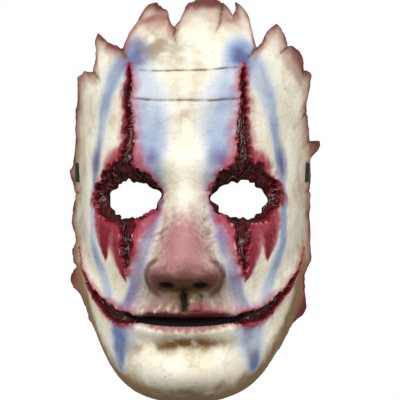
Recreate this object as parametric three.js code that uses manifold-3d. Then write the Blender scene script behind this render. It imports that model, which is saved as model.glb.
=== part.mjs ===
// A latex clown mask: a thin hollow face with a torn edge, open eyes, a closed mouth and an elastic head strap.
// Millimetres. +Z is up, the face looks along -Y, and +X is the wearer's left.
import * as THREE from "three";
import { mergeVertices } from "three/addons/utils/BufferGeometryUtils.js";
import Module from "manifold-3d";

const wasm = await Module();
wasm.setup();

// Face form
const faceWidth = 136; // across the temples
const faceHeight = 238; // from the top edge to the underside of the chin
const faceDepth = 96; // from the ear line forward to the brow
const latexWall = 2.2;
const sectionSquareness = 2.35;

// Features
const noseReach = 25;
const noseWidth = 29;
const eyeSpacing = 64;
const eyeHoleWidth = 34;
const eyeHoleHeight = 19;
const eyeWoundWidth = 52;
const eyeWoundHeight = 35;
const eyeWoundRise = 1.5; // above the eye line
const mouthDrop = 71; // from the eye line to the mouth line
const mouthWidth = 54;
const mouthGap = 5;
const lipHeight = 4.2;
const nostrilWidth = 5.5;
const nostrilHeight = 3.2;
const nostrilSpacing = 14;
const nostrilDrop = 49;
const breathGrooveWidth = 4;
const breathGrooveHeight = 12;
const breathSlotWidth = 1.2;
const breathSlotHeight = 8;
const breathSlotSlant = 2; // sideways, from the outside to the inside
const breathSlotDrop = 58;
const woundDepth = 1;
const woundSwell = 1.6;
const woundSwellReach = 5;

// Torn edge, measured on the latex laid flat
const edgeHalfWidth = 113;
const edgeTop = 131;
const edgeBottom = 137;
const edgeCentreDrop = 10;
const edgeFlare = 8;
const edgeFlareWidth = 44;

// Strap
const strapWidth = 12;
const strapThickness = 1.4;
const strapClearance = 0.5;
const strapHeight = 17; // above the eye line
const strapClimb = 24; // how much higher it lies behind the head
const strapSlotFromEdge = 12;
const strapStopWidth = 3.2;
const strapStopHeight = 1.2;
const strapBendRadius = strapThickness / 2 + strapClearance;
const headBack = 98; // from the ear line to the back of the head

// Where the inside of the forehead rests on the wearer: this point is the origin.
const restHeight = 52;

// Across and up, on the latex laid flat, become an angle round the head and a section of it.
const wrapRadius = faceWidth * 0.58;

// Sections from the top of the forehead to under the chin. up, height and rise are shares of faceHeight,
// reach is a share of faceDepth, and half is a share of half the faceWidth.
const sections = [
  { up: 0.66, height: 0.486, reach: 0.02, half: 0.16, rise: 0 },
  { up: 0.6, height: 0.48, reach: 0.22, half: 0.38, rise: 0 },
  { up: 0.55, height: 0.466, reach: 0.43, half: 0.57, rise: 0 },
  { up: 0.49, height: 0.435, reach: 0.63, half: 0.74, rise: 0 },
  { up: 0.41, height: 0.378, reach: 0.8, half: 0.88, rise: 0 },
  { up: 0.31, height: 0.296, reach: 0.925, half: 0.96, rise: 0 },
  { up: 0.2, height: 0.196, reach: 0.985, half: 0.99, rise: 0 },
  { up: 0.09, height: 0.09, reach: 1, half: 1, rise: 0 },
  { up: 0, height: 0, reach: 0.975, half: 1, rise: 0 },
  { up: -0.1, height: -0.1, reach: 0.965, half: 1, rise: 0.01 },
  { up: -0.2, height: -0.2, reach: 0.97, half: 1, rise: 0.055 },
  { up: -0.3, height: -0.298, reach: 0.98, half: 0.98, rise: 0.11 },
  { up: -0.4, height: -0.396, reach: 0.975, half: 0.91, rise: 0.165 },
  { up: -0.47, height: -0.46, reach: 0.94, half: 0.82, rise: 0.195 },
  { up: -0.53, height: -0.497, reach: 0.84, half: 0.72, rise: 0.215 },
  { up: -0.6, height: -0.507, reach: 0.66, half: 0.62, rise: 0.225 },
  { up: -0.68, height: -0.502, reach: 0.45, half: 0.54, rise: 0.225 },
];

// Soft rises and hollows. across and wide are shares of faceWidth, up and tall of faceHeight, out of faceDepth.
const forms = [
  { name: "glabella", across: 0, up: 0.085, out: 0.022, wide: 0.07, tall: 0.035 },
  { name: "brow", across: 0.185, up: 0.085, out: 0.05, wide: 0.115, tall: 0.034 },
  { name: "socket", across: 0.205, up: 0, out: -0.1, wide: 0.098, tall: 0.044 },
  { name: "socket_corner", across: 0.1, up: 0.012, out: -0.06, wide: 0.045, tall: 0.04 },
  { name: "temple", across: 0.43, up: 0.13, out: -0.03, wide: 0.09, tall: 0.09 },
  { name: "cheekbone", across: 0.32, up: -0.1, out: 0.06, wide: 0.115, tall: 0.05 },
  { name: "front_cheek", across: 0.18, up: -0.13, out: 0.035, wide: 0.07, tall: 0.05 },
  { name: "cheek_hollow", across: 0.34, up: -0.27, out: -0.04, wide: 0.1, tall: 0.06 },
  { name: "muzzle", across: 0, up: -0.285, out: 0.075, wide: 0.17, tall: 0.08 },
  { name: "chin_fold", across: 0, up: -0.365, out: -0.05, wide: 0.12, tall: 0.02 },
  { name: "chin", across: 0, up: -0.43, out: 0.1, wide: 0.105, tall: 0.045 },
  { name: "nose_wing", across: 0.088, up: -0.18, out: 0.085, wide: 0.028, tall: 0.022 },
  { name: "wing_crease", across: 0.135, up: -0.183, out: -0.03, wide: 0.018, tall: 0.026 },
  { name: "philtrum", across: 0, up: -0.245, out: -0.016, wide: 0.018, tall: 0.018 },
];

// The nose ridge: up is a share of faceHeight, out of noseReach, and half of half the noseWidth.
const noseRidge = [
  { up: 0.11, out: 0, half: 0.6 },
  { up: 0.06, out: 0.05, half: 0.56 },
  { up: 0.015, out: 0.25, half: 0.54 },
  { up: -0.05, out: 0.52, half: 0.58 },
  { up: -0.115, out: 0.82, half: 0.72 },
  { up: -0.15, out: 0.97, half: 0.86 },
  { up: -0.17, out: 1, half: 0.92 },
  { up: -0.187, out: 0.9, half: 0.97 },
  { up: -0.202, out: 0.55, half: 0.98 },
  { up: -0.218, out: 0.12, half: 0.96 },
  { up: -0.24, out: 0, half: 0.9 },
];

// The gash down through each eye: up is a share of faceHeight, shift is sideways and half is the half width,
// both in shares of eyeWoundHeight.
const gash = [
  { up: 0.355, shift: 0, half: 0 },
  { up: 0.3, shift: -0.06, half: 0.035 },
  { up: 0.25, shift: -0.08, half: 0.05 },
  { up: 0.19, shift: -0.12, half: 0.075 },
  { up: 0.126, shift: -0.12, half: 0.095 },
  { up: 0.063, shift: -0.1, half: 0.15 },
  { up: 0, shift: 0, half: 0.2 },
  { up: -0.063, shift: -0.08, half: 0.17 },
  { up: -0.126, shift: -0.13, half: 0.09 },
  { up: -0.185, shift: -0.11, half: 0 },
];

// The cut from each mouth corner: along is the share of the way from the corner to the edge of the latex,
// climb is a share of faceHeight, and half is the half width in shares of mouthGap.
const smileCut = [
  { along: 0, climb: 0, half: 0.5 },
  { along: 0.25, climb: 0.004, half: 0.78 },
  { along: 0.5, climb: 0.035, half: 0.7 },
  { along: 0.75, climb: 0.09, half: 0.4 },
  { along: 1, climb: 0.16, half: 0 },
];
const smileCutEnd = 0.82; // share of edgeHalfWidth

// Torn tabs and splits round the edge, by degrees from the wearer's left, over the top. out is a share of
// faceHeight, below zero for a split, and half is the half width in degrees.
const tears = [
  { at: 103.5, out: 0.055, half: 7.5 },
  { at: 84, out: 0.105, half: 9 },
  { at: 76.5, out: 0.036, half: 3 },
  { at: 72, out: 0.075, half: 3 },
  { at: 61.5, out: 0.055, half: 4.5 },
  { at: 51, out: 0.06, half: 9 },
  { at: 42, out: 0.06, half: 4.5 },
  { at: 21, out: 0.07, half: 3 },
  { at: 120, out: 0.04, half: 3 },
  { at: 135, out: 0.02, half: 6 },
  { at: 148.5, out: 0.012, half: 6 },
  { at: 166.5, out: 0.03, half: 7.5 },
  { at: 181.5, out: 0.045, half: 7.5 },
  { at: 196.5, out: 0.055, half: 6 },
  { at: 208.5, out: 0.06, half: 6 },
  { at: 229.5, out: 0.05, half: 7.5 },
  { at: 249, out: 0.018, half: 7.5 },
  { at: 273, out: 0.022, half: 9 },
  { at: 297, out: 0.02, half: 7.5 },
  { at: 321, out: 0.05, half: 6 },
  { at: 342, out: 0.01, half: 6 },
  { at: 0, out: -0.012, half: 7.5 },
  { at: 67.5, out: -0.04, half: 3 },
  { at: 94.5, out: -0.034, half: 3 },
  { at: 111, out: -0.05, half: 6 },
  { at: 126, out: -0.034, half: 4.5 },
  { at: 222, out: -0.026, half: 3 },
  { at: 238.5, out: -0.03, half: 3 },
  { at: 309, out: -0.03, half: 4.5 },
  { at: 333, out: -0.045, half: 7.5 },
];

// How finely the latex is divided: up to this share of edgeHalfWidth or faceHeight, lines this far apart.
const acrossPitches = [
  { from: 0, pitch: 4 },
  { from: 0.35, pitch: 8 },
];
const upPitches = [
  { from: -0.68, pitch: 8 },
  { from: -0.365, pitch: 3.2 },
  { from: -0.26, pitch: 4.2 },
  { from: -0.225, pitch: 2.5 },
  { from: -0.165, pitch: 5 },
  { from: 0.12, pitch: 8 },
];
const edgeStep = 1.5; // degrees between points of the torn edge

const gauss = (distance, spread) => Math.exp(-0.5 * (distance / spread) ** 2);
const smooth = (low, high, value) => THREE.MathUtils.smoothstep(value, low, high);

// A smooth curve through one column of a table, held level beyond its ends.
function curveOf(rows, key, column) {
  const line = [...rows].sort((a, b) => a[key] - b[key]);
  const slope = line.map((row, i) => {
    const before = line[Math.max(i - 1, 0)];
    const after = line[Math.min(i + 1, line.length - 1)];
    return (after[column] - before[column]) / (after[key] - before[key]);
  });
  return (at) => {
    const x = THREE.MathUtils.clamp(at, line[0][key], line.at(-1)[key]);
    const next = Math.max(line.findIndex((row) => row[key] >= x), 1);
    const [a, b] = [line[next - 1], line[next]];
    const span = b[key] - a[key];
    const u = (x - a[key]) / span;
    return (
      a[column] * (1 + 2 * u) * (1 - u) ** 2 +
      b[column] * u * u * (3 - 2 * u) +
      slope[next - 1] * span * u * (1 - u) ** 2 -
      slope[next] * span * u * u * (1 - u)
    );
  };
}

const sectionHeight = curveOf(sections, "up", "height");
const sectionReach = curveOf(sections, "up", "reach");
const sectionHalf = curveOf(sections, "up", "half");
const sectionRise = curveOf(sections, "up", "rise");
const ridgeOut = curveOf(noseRidge, "up", "out");
const ridgeHalf = curveOf(noseRidge, "up", "half");
const gashShift = curveOf(gash, "up", "shift");
const gashHalf = curveOf(gash, "up", "half");
const cutClimb = curveOf(smileCut, "along", "climb");
const cutHalf = curveOf(smileCut, "along", "half");

// How far a rounded rectangle of these half sizes reaches in a direction.
function ovalReach(sine, cosine, half, reach, squareness) {
  const sum = Math.abs(sine / half) ** squareness + Math.abs(cosine / reach) ** squareness;
  return sum ** (-1 / squareness);
}

// The nose, raised from the face
function noseRaise(across, up) {
  const share = up / faceHeight;
  const half = (ridgeHalf(share) * noseWidth) / 2;
  return noseReach * ridgeOut(share) * Math.exp(-1.3 * Math.abs(across / half) ** 2.3);
}

// Upper and lower lip, with the mouth line rolled in between them
function lipRaise(across, up) {
  const along = across / (mouthWidth / 2);
  const taper = Math.max(1 - along * along, 0) ** 0.6;
  const height = up + mouthDrop;
  const upper = 0.9 * gauss(height - lipHeight * 1.15, lipHeight * 0.62);
  const lower = gauss(height + lipHeight * 1.35, lipHeight * 0.8);
  const roll = 1.3 * gauss(height, lipHeight * 0.55);
  return lipHeight * taper * (upper + lower - roll);
}

function formRaise(across, up) {
  let raise = 0;
  for (const form of forms) {
    const tall = gauss(up - form.up * faceHeight, form.tall * faceHeight);
    const sides = form.across === 0 ? [0] : [-1, 1];
    for (const side of sides) {
      const wide = gauss(across - side * form.across * faceWidth, form.wide * faceWidth);
      raise += form.out * faceDepth * wide * tall;
    }
  }
  return raise;
}

// A point of the bare face, without wounds or wall.
function facePoint(across, up) {
  const angle = across / wrapRadius;
  const sine = Math.sin(angle);
  const cosine = Math.cos(angle);
  const share = up / faceHeight;
  const half = (sectionHalf(share) * faceWidth) / 2;
  const reach = sectionReach(share) * faceDepth;
  const oval = ovalReach(sine, cosine, half, reach, sectionSquareness);
  const radius = oval + formRaise(across, up) + noseRaise(across, up) + lipRaise(across, up);
  const height = faceHeight * (sectionHeight(share) + sectionRise(share) * (1 - cosine));
  return new THREE.Vector3(radius * sine, -radius * cosine, height);
}

function faceNormal(across, up) {
  const step = 0.8;
  const sideways = facePoint(across + step, up).sub(facePoint(across - step, up));
  const upwards = facePoint(across, up + step).sub(facePoint(across, up - step));
  return sideways.cross(upwards).normalize();
}

// Distance outside the gash through an eye, below zero inside it.
function eyeWoundDistance(across, up) {
  const side = across < 0 ? -1 : 1;
  const outward = side * across - eyeSpacing / 2;
  const share = up / faceHeight;
  const half = gashHalf(share) * eyeWoundHeight;
  const gashDistance = Math.abs(outward - gashShift(share) * eyeWoundHeight) - half;
  const wide = Math.abs(outward / (eyeWoundWidth / 2)) ** 1.5;
  const tall = Math.abs((up - eyeWoundRise) / (eyeWoundHeight / 2)) ** 1.5;
  const eyeDistance = ((wide + tall) ** (1 / 1.5) - 1) * (eyeWoundHeight / 2);
  const beyondTip = Math.max(
    up - gash[0].up * faceHeight,
    gash.at(-1).up * faceHeight - up,
    0,
  );
  return Math.min(gashDistance + 2 * beyondTip, eyeDistance);
}

// Distance outside the cut from a mouth corner, below zero inside it.
function smileDistance(across, up) {
  const start = mouthWidth / 2;
  const end = smileCutEnd * edgeHalfWidth;
  const along = (Math.abs(across) - start) / (end - start);
  const middle = -mouthDrop + cutClimb(along) * faceHeight;
  const beyond = Math.max(-along, along - 1, 0) * (end - start);
  return Math.abs(up - middle) - cutHalf(along) * mouthGap + beyond;
}

// The latex swells up to the edge of each wound.
function woundRaise(across, up) {
  const distance = Math.min(eyeWoundDistance(across, up), smileDistance(across, up));
  return woundSwell * gauss(Math.max(distance, 0), woundSwellReach);
}

// Reach of the nominal, untorn edge in a direction round the middle of the flat latex.
function plainEdge(angle) {
  const over = Math.sin(angle) > 0;
  const tall = over ? edgeTop : edgeBottom;
  const squareness = over ? 1.85 : 2.3;
  return ovalReach(Math.cos(angle), Math.sin(angle), edgeHalfWidth, tall, squareness);
}

function tornEdge(angle) {
  const degrees = THREE.MathUtils.euclideanModulo(THREE.MathUtils.radToDeg(angle), 360);
  let reach = plainEdge(angle);
  for (const tear of tears) {
    const apart = Math.abs(THREE.MathUtils.euclideanModulo(degrees - tear.at + 180, 360) - 180);
    reach += tear.out * faceHeight * Math.max(1 - apart / tear.half, 0) ** 0.9;
  }
  return reach;
}

// How far the latex stands off the face near its torn edge. It hugs the underside of the chin.
function edgeLift(across, up) {
  const height = up + edgeCentreDrop;
  const angle = Math.atan2(height, across);
  const beyond = Math.hypot(across, height) - plainEdge(angle);
  const start = -0.6 * edgeFlareWidth;
  return edgeFlare * smooth(start, start + edgeFlareWidth, beyond) * smooth(-0.97, -0.5, Math.sin(angle));
}

// A point of the latex this far above its inner face.
function latexPoint(across, up, above) {
  const lift = edgeLift(across, up) + above - latexWall;
  return facePoint(across, up).addScaledVector(faceNormal(across, up), lift);
}

const outerPoint = (across, up) => latexPoint(across, up, latexWall + woundRaise(across, up));
const innerPoint = (across, up) => latexPoint(across, up, 0);
const woundFloor = (across, up) =>
  latexPoint(across, up, latexWall + woundRaise(across, up) - woundDepth);

// Positions of grid lines from one limit to another, at the pitch that each stretch asks for.
function gridLines(low, high, pitches, unit) {
  const lines = [low];
  while (lines.at(-1) < high) {
    const here = pitches.filter((row) => lines.at(-1) >= row.from * unit - 1e-6).at(-1) ?? pitches[0];
    lines.push(lines.at(-1) + here.pitch);
  }
  return lines;
}

function solidOf(geometry) {
  geometry.deleteAttribute("normal");
  geometry.deleteAttribute("uv");
  const merged = mergeVertices(geometry, 1e-4);
  return new wasm.Manifold(
    new wasm.Mesh({
      numProp: 3,
      vertProperties: merged.attributes.position.array,
      triVerts: new Uint32Array(merged.index.array),
    }),
  );
}

function meshOf(positions, indices, material, name) {
  const geometry = new THREE.BufferGeometry();
  geometry.setAttribute("position", new THREE.Float32BufferAttribute(positions, 3));
  geometry.setIndex(indices);
  geometry.computeVertexNormals();
  const mesh = new THREE.Mesh(geometry, material);
  mesh.name = name;
  return mesh;
}

// Each level of the flat latex is domed, so that cutting keeps every point of its grid.
const domeAt = (across, up) => 1 + 0.4 * ((across / edgeHalfWidth) ** 2 + (up / edgeTop) ** 2);

// The flat latex between two levels before it is cut: a grid on both faces. Level 1 becomes the outside
// of the mask, level -1 the inside, and level 0.2 the floor of the wounds.
function flatSheet(upperLevel, lowerLevel) {
  const margin = 0.08 * faceHeight;
  const right = gridLines(0, edgeHalfWidth + margin, acrossPitches, edgeHalfWidth);
  const acrossLines = [...right.slice(1).map((line) => -line).reverse(), ...right];
  const low = -edgeCentreDrop - edgeBottom - margin;
  const upLines = gridLines(low, edgeTop + margin, upPitches, faceHeight);
  const [columns, rows] = [acrossLines.length, upLines.length];
  const positions = [];
  for (const level of [upperLevel, lowerLevel]) {
    for (const up of upLines) {
      for (const across of acrossLines) {
        positions.push(across, up, level * domeAt(across, up));
      }
    }
  }
  const top = (column, row) => row * columns + column;
  const under = (column, row) => rows * columns + row * columns + column;
  const indices = [];
  const quad = (a, b, c, d) => indices.push(a, b, c, a, c, d);
  for (let row = 0; row < rows - 1; row++) {
    for (let column = 0; column < columns - 1; column++) {
      const corners = [[column, row], [column + 1, row], [column + 1, row + 1], [column, row + 1]];
      quad(...corners.map((corner) => top(...corner)));
      quad(...corners.reverse().map((corner) => under(...corner)));
    }
  }
  for (let column = 0; column < columns - 1; column++) {
    quad(under(column, 0), under(column + 1, 0), top(column + 1, 0), top(column, 0));
    const last = rows - 1;
    quad(under(column + 1, last), under(column, last), top(column, last), top(column + 1, last));
  }
  for (let row = 0; row < rows - 1; row++) {
    quad(under(0, row + 1), under(0, row), top(0, row), top(0, row + 1));
    const last = columns - 1;
    quad(under(last, row), under(last, row + 1), top(last, row + 1), top(last, row));
  }
  const geometry = new THREE.BufferGeometry();
  geometry.setAttribute("position", new THREE.Float32BufferAttribute(positions, 3));
  geometry.setIndex(indices);
  return solidOf(geometry);
}

// A cutter through the flat sheet, in the shape of a closed outline. A slant leans it sideways between
// level 1 and level -1.
function cutter(points, slant = 0) {
  const depth = 12;
  const geometry = new THREE.ExtrudeGeometry(new THREE.Shape(points), {
    depth,
    bevelEnabled: false,
  });
  geometry.translate(0, 0, -depth / 2 - 1);
  geometry.applyMatrix4(new THREE.Matrix4().makeShear(0, 0, 0, 0, -slant / 2, 0));
  geometry.translate(0, 0, 1);
  return solidOf(geometry);
}

// Points round a closed outline, from a reach for each angle.
function outline(centreAcross, centreUp, steps, reachAt) {
  const points = [];
  for (let i = 0; i < steps; i++) {
    const angle = (2 * Math.PI * i) / steps;
    const reach = reachAt(angle);
    points.push(
      new THREE.Vector2(centreAcross + reach * Math.cos(angle), centreUp + reach * Math.sin(angle)),
    );
  }
  return points;
}

function eyeHoleOutline(side) {
  const reachAt = (angle) => {
    const along = side > 0 ? angle : Math.PI - angle;
    const oval = ovalReach(
      Math.cos(along),
      Math.sin(along),
      eyeHoleWidth / 2,
      eyeHoleHeight / 2,
      1.7,
    );
    return oval * (1 + 0.05 * Math.sin(5 * along + 1) + 0.04 * Math.sin(9 * along));
  };
  return outline((side * eyeSpacing) / 2, 0, 32, reachAt);
}

// The groove between the lips
function mouthOutline() {
  const steps = 14;
  const half = 0.94 * (mouthWidth / 2);
  const lip = (share, side) => {
    const open = (mouthGap / 2) * Math.max(1 - share * share, 0) ** 0.7;
    return new THREE.Vector2(share * half, -mouthDrop + side * open);
  };
  const shares = Array.from({ length: steps }, (_, i) => -1 + (2 * i) / steps);
  return [
    ...shares.map((share) => lip(share, -1)),
    ...shares.map((share) => lip(-share, 1)),
  ];
}

function ovalOutline(across, up, width, height, steps) {
  const reachAt = (angle) => ovalReach(Math.cos(angle), Math.sin(angle), width / 2, height / 2, 2);
  return outline(across, up, steps, reachAt);
}

// A long ragged band from one tip to the other. centreAt and halfAt take shares of the way from 0 to 1.
function bandOutline(steps, pointAt) {
  const one = [];
  const other = [];
  for (let i = 1; i < steps; i++) {
    const share = i / steps;
    const ragged = 1 + 0.16 * Math.sin(2.4 * i) + 0.1 * Math.sin(5.3 * i);
    one.push(pointAt(share, ragged));
    other.unshift(pointAt(share, ragged - 2));
  }
  return [pointAt(0, 0), ...one, pointAt(1, 0), ...other];
}

function gashOutline(side) {
  const top = gash[0].up;
  const bottom = gash.at(-1).up;
  return bandOutline(24, (share, sideways) => {
    const up = top + (bottom - top) * share;
    const outward = (gashShift(up) + sideways * gashHalf(up)) * eyeWoundHeight;
    return new THREE.Vector2(side * (eyeSpacing / 2 + outward), up * faceHeight);
  });
}

function eyeWoundOutline(side) {
  return outline((side * eyeSpacing) / 2, eyeWoundRise, 36, (angle) => {
    const oval = ovalReach(
      Math.cos(angle),
      Math.sin(angle),
      eyeWoundWidth / 2,
      eyeWoundHeight / 2,
      1.5,
    );
    return oval * (1 + 0.05 * Math.sin(6 * angle + side));
  });
}

function smileOutline(side) {
  const start = 0.49 * mouthWidth;
  const end = smileCutEnd * edgeHalfWidth;
  return bandOutline(18, (share, sideways) => {
    const middle = -mouthDrop + cutClimb(share) * faceHeight;
    const up = middle + sideways * cutHalf(share) * mouthGap;
    return new THREE.Vector2(side * (start + (end - start) * share), up);
  });
}

function slotOutline(across, up, width, height) {
  const [x, y] = [width / 2, height / 2];
  return [
    new THREE.Vector2(across - x, up - y),
    new THREE.Vector2(across + x, up - y),
    new THREE.Vector2(across + x, up + y),
    new THREE.Vector2(across - x, up + y),
  ];
}

const strapSlotAcross = edgeHalfWidth - strapSlotFromEdge;

function latexFace(material) {
  const edgeSteps = Math.round(360 / edgeStep);
  const edge = outline(0, -edgeCentreDrop, edgeSteps, tornEdge);
  let flat = flatSheet(1, -1).intersect(cutter(edge));
  const aboveFloor = flatSheet(3, 0.2);
  flat = flat.subtract(aboveFloor.intersect(cutter(mouthOutline())));
  for (const side of [-1, 1]) {
    const eyeWound = cutter(gashOutline(side)).add(cutter(eyeWoundOutline(side)));
    flat = flat.subtract(aboveFloor.intersect(eyeWound));
    flat = flat.subtract(aboveFloor.intersect(cutter(smileOutline(side))));
  }
  const pits = [ovalOutline(0, -breathSlotDrop, breathGrooveWidth, breathGrooveHeight, 10)];
  const holes = [];
  for (const side of [-1, 1]) {
    holes.push(eyeHoleOutline(side));
    const nostrilAcross = (side * nostrilSpacing) / 2;
    pits.push(ovalOutline(nostrilAcross, -nostrilDrop, nostrilWidth, nostrilHeight, 8));
    holes.push(
      slotOutline(
        side * strapSlotAcross,
        strapHeight,
        strapThickness + 2 * strapClearance,
        strapWidth + 2 * strapClearance,
      ),
    );
  }
  for (const pit of pits) {
    flat = flat.subtract(aboveFloor.intersect(cutter(pit)));
  }
  for (const hole of holes) {
    flat = flat.subtract(cutter(hole));
  }
  const slit = ovalOutline(0, -breathSlotDrop, breathSlotWidth, breathSlotHeight, 8);
  flat = flat.subtract(cutter(slit, breathSlotSlant));
  const cut = flat.getMesh();
  const positions = [];
  for (let i = 0; i < cut.vertProperties.length; i += cut.numProp) {
    const [across, up, height] = cut.vertProperties.subarray(i, i + 3);
    const level = height / domeAt(across, up);
    const placeAt = level > 0.6 ? outerPoint : level > 0 ? woundFloor : innerPoint;
    positions.push(...placeAt(across, up).toArray());
  }
  return meshOf(positions, [...cut.triVerts], material, "latex_face");
}

// The strap's line round the head: from the stop outside one slot, in through it, round the slot's rear
// edge, straight back past the ear and round the back of the head.
function strapLine() {
  const inside = innerPoint(strapSlotAcross, strapHeight);
  const outside = outerPoint(strapSlotAcross, strapHeight);
  const outward = outside.clone().sub(inside).setZ(0).normalize();
  const rearward = new THREE.Vector3(-outward.y, outward.x, 0);
  const at = (point, thickness = strapThickness) => ({ point, thickness });
  const along = (from, out, back = 0) =>
    from.clone().addScaledVector(outward, out).addScaledVector(rearward, back);

  // The stop stands clear of the curved latex over its whole footprint.
  let stopStart = 0;
  for (const across of [-0.5, 0, 0.5]) {
    for (const up of [-0.5, 0, 0.5]) {
      const corner = outerPoint(
        strapSlotAcross + across * (strapStopWidth + 2),
        strapHeight + up * strapWidth,
      );
      stopStart = Math.max(stopStart, corner.sub(inside).dot(outward) + 0.6 * strapClearance);
    }
  }
  const half = [
    at(along(inside, stopStart + strapStopHeight), 0.6 * strapStopWidth),
    at(along(inside, stopStart + 0.75 * strapStopHeight), strapStopWidth),
    at(along(inside, stopStart + 0.25 * strapStopHeight), strapStopWidth),
    at(along(inside, stopStart)),
  ];
  const centre = along(inside, 0, strapBendRadius);
  const turnEnd = Math.atan2(rearward.y, -outward.y);
  const bendSteps = 5;
  for (let i = 0; i <= bendSteps; i++) {
    const turn = turnEnd * (i / bendSteps);
    half.push(
      at(along(centre, -strapBendRadius * Math.sin(turn), -strapBendRadius * Math.cos(turn))),
    );
  }
  const runStart = half.at(-1).point;
  const sideSteps = 3;
  for (let i = 1; i < sideSteps; i++) {
    half.push(at(runStart.clone().setY(runStart.y * (1 - i / sideSteps))));
  }
  const backSteps = 18;
  for (let i = 0; i <= backSteps; i++) {
    const angle = (Math.PI / 2) * (i / backSteps);
    const radius = ovalReach(Math.cos(angle), Math.sin(angle), runStart.x, headBack, 2.15);
    half.push(
      at(
        new THREE.Vector3(
          radius * Math.cos(angle),
          radius * Math.sin(angle),
          runStart.z + strapClimb * smooth(0, Math.PI / 2, angle),
        ),
      ),
    );
  }
  half.at(-1).point.x = 0;
  const mirrored = half
    .slice(0, -1)
    .reverse()
    .map(({ point, thickness }) => at(point.clone().setX(-point.x), thickness));
  return [...half, ...mirrored];
}

function headStrap(material) {
  const line = strapLine();
  const positions = [];
  line.forEach(({ point, thickness }, i) => {
    const before = line[Math.max(i - 1, 0)].point;
    const after = line[Math.min(i + 1, line.length - 1)].point;
    const along = after.clone().sub(before).normalize();
    const upright = new THREE.Vector3(0, 0, 1).addScaledVector(along, -along.z).normalize();
    const through = along.clone().cross(upright);
    for (const [side, edge] of [[-1, -1], [1, -1], [1, 1], [-1, 1]]) {
      const corner = point
        .clone()
        .addScaledVector(through, (side * thickness) / 2)
        .addScaledVector(upright, (edge * strapWidth) / 2);
      positions.push(corner.x, corner.y, corner.z);
    }
  });
  const indices = [0, 1, 2, 0, 2, 3];
  for (let i = 0; i < line.length - 1; i++) {
    for (let corner = 0; corner < 4; corner++) {
      const next = (corner + 1) % 4;
      const [a, b] = [4 * i + corner, 4 * i + next];
      indices.push(a, a + 4, b + 4, a, b + 4, b);
    }
  }
  const last = 4 * (line.length - 1);
  indices.push(last, last + 2, last + 1, last, last + 3, last + 2);
  return meshOf(positions, indices, material, "head_strap");
}

const latex = new THREE.MeshStandardMaterial({ color: 0xe6dfcf, roughness: 0.55, metalness: 0 });
const elastic = new THREE.MeshStandardMaterial({ color: 0x1c1b1d, roughness: 0.85, metalness: 0 });

const mask = new THREE.Group();
mask.add(latexFace(latex), headStrap(elastic));
const rest = innerPoint(0, restHeight);
mask.position.set(-rest.x, -rest.y, -rest.z);

export default mask;
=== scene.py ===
# A torn latex clown mask with an elastic head strap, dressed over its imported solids.
# across and up are millimetres on the latex laid flat, from the middle of the eye line.
import math

import bpy
import numpy as np
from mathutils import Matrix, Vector


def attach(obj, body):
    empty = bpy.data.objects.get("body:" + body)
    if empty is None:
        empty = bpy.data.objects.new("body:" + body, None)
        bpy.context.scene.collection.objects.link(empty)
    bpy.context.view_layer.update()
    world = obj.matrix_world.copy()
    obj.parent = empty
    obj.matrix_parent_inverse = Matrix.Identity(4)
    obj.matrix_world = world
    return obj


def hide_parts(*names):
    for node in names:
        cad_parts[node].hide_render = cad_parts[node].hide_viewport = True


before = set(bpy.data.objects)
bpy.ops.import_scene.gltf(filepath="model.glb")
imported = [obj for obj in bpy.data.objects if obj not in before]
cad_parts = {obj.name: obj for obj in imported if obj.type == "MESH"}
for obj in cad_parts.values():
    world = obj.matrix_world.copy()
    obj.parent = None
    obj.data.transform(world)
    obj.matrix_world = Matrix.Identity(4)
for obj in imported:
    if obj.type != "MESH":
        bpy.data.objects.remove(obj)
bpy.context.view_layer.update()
bpy.context.scene.view_settings.view_transform = "Standard"
print("frame loaded", sorted(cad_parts))

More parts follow.
